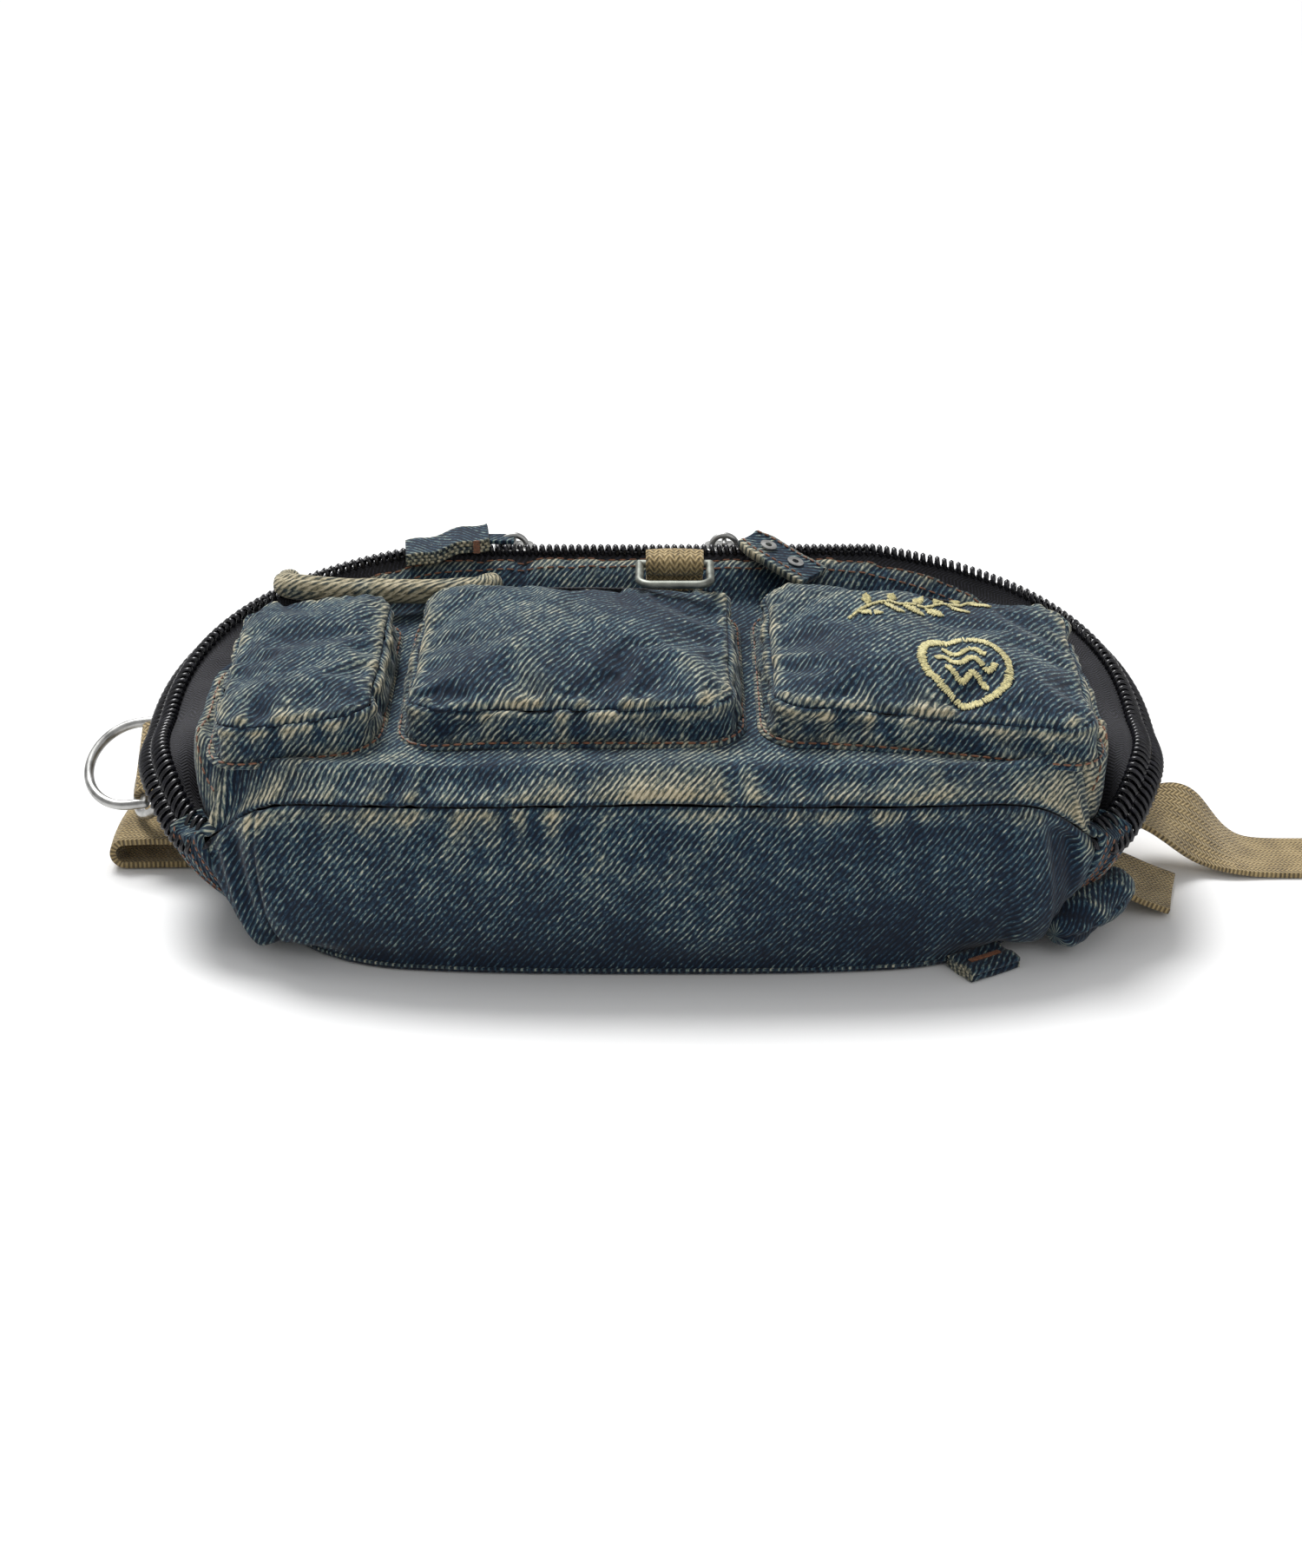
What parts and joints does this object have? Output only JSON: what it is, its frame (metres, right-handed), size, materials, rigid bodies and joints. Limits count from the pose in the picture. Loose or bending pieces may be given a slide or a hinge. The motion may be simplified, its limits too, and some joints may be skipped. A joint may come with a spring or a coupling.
{
  "type": "waist pack",
  "caption": "Denim waist pack with cargo pockets, two-way zip round the front, webbing belt with cinch rings and a small accessory ring",
  "frame": {"origin": "centre of the flat back panel, on the face that rests on the table", "axes": "+X towards the pack's right-hand end in the front view, +Y towards its top edge, +Z out of its front"},
  "size_m": [0.4401, 0.1443, 0.096],
  "materials": {
    "denim": "washed indigo twill",
    "worn_denim": "abraded twill edge",
    "webbing": "chunky cotton webbing",
    "zip_tape": "black herringbone tape",
    "zip_coil": "glossy nylon coil",
    "dull_steel": "dull plated steel",
    "grey_ring": "matte grey"
  },
  "bodies": {
    "pack": {"back_panel": "denim", "gusset_bottom": "denim", "gusset_left": "denim", "gusset_right": "denim", "gusset_top": "denim", "zip_tape_back": "zip_tape", "zip_coil_back": "zip_coil", "zip_end_left": "denim", "zip_end_right": "denim", "corner_roll_right": "denim", "belt_left": "webbing", "belt_left_tail": "webbing", "belt_right": "webbing", "belt_right_fold": "webbing", "belt_right_roll": "webbing", "bottom_loop": "denim"},
    "front": {"front_panel": "denim", "zip_tape_front": "zip_tape", "zip_coil_front": "zip_coil", "pocket_left_gusset": "denim", "pocket_left_face": "denim", "pocket_left_flange": "worn_denim", "pocket_left_zip": "zip_coil", "pocket_centre_gusset": "denim", "pocket_centre_face": "denim", "pocket_centre_flange": "worn_denim", "pocket_centre_zip": "zip_coil", "pocket_right_gusset": "denim", "pocket_right_face": "denim", "pocket_right_flange": "worn_denim", "pocket_right_zip": "zip_coil", "accessory_loop": "webbing"},
    "pocket_slider_left": {"pocket_left_slider": "dull_steel"},
    "pocket_slider_centre": {"pocket_centre_slider": "dull_steel"},
    "pocket_slider_right": {"pocket_right_slider": "dull_steel"},
    "key_ring": {"accessory_ring": "grey_ring"},
    "handle": {"grab_handle": "worn_denim"},
    "slider_l": {"slider_left": "dull_steel"},
    "slider_r": {"slider_right": "dull_steel"},
    "pull_l": {"pull_left": "denim"},
    "pull_r": {"pull_right": "denim", "eyelet_upper": "dull_steel", "eyelet_lower": "dull_steel"},
    "ring_outer": {"d_ring_outer": "dull_steel"},
    "ring_inner": {"d_ring_inner": "dull_steel"}
  },
  "joints": [
    {"name": "front_open", "type": "hinge", "parent": "pack", "child": "front", "pos_m": [0, -0.07, 0.0556], "axis": [1, 0, 0], "range_deg": [0, 75]},
    {"name": "slider_left_travel", "type": "slide", "parent": "pack", "child": "slider_l", "axis": [1, 0, 0], "range_m": [-0.022, 0.025]},
    {"name": "slider_right_travel", "type": "slide", "parent": "pack", "child": "slider_r", "axis": [1, 0, 0], "range_m": [-0.025, 0.045]},
    {"name": "pull_left_swing", "type": "hinge", "parent": "slider_l", "child": "pull_l", "pos_m": [-0.045, 0.066, 0.0893], "axis": [0, 1, 0], "range_deg": [0, 150]},
    {"name": "pull_right_swing", "type": "hinge", "parent": "slider_r", "child": "pull_r", "pos_m": [0.024, 0.066, 0.0893], "axis": [0, -1, 0], "range_deg": [0, 150]},
    {"name": "pocket_slider_left_travel", "type": "slide", "parent": "front", "child": "pocket_slider_left", "axis": [1, 0, 0], "range_m": [0, 0.011]},
    {"name": "pocket_slider_centre_travel", "type": "slide", "parent": "front", "child": "pocket_slider_centre", "axis": [1, 0, 0], "range_m": [0, 0.061]},
    {"name": "pocket_slider_right_travel", "type": "slide", "parent": "front", "child": "pocket_slider_right", "axis": [1, 0, 0], "range_m": [0, 0.061]},
    {"name": "key_ring_swing", "type": "hinge", "parent": "front", "child": "key_ring", "pos_m": [0.0075, 0.0352, 0.09246], "axis": [-1, 0, 0], "range_deg": [0, 130]},
    {"name": "handle_lift", "type": "hinge", "parent": "front", "child": "handle", "pos_m": [-0.085, 0.0544, 0.088], "axis": [-1, 0, 0], "range_deg": [0, 90]},
    {"name": "ring_inner_swing", "type": "hinge", "parent": "pack", "child": "ring_inner", "pos_m": [-0.155, 0.017, 0.032], "axis": [0, 0.8387, 0.5446], "range_deg": [-25, 12]},
    {"name": "ring_outer_swing", "type": "hinge", "parent": "pack", "child": "ring_outer", "pos_m": [-0.1604, 0.017, 0.032], "axis": [0, 0.8387, 0.5446], "range_deg": [0, 100]}
  ]
}
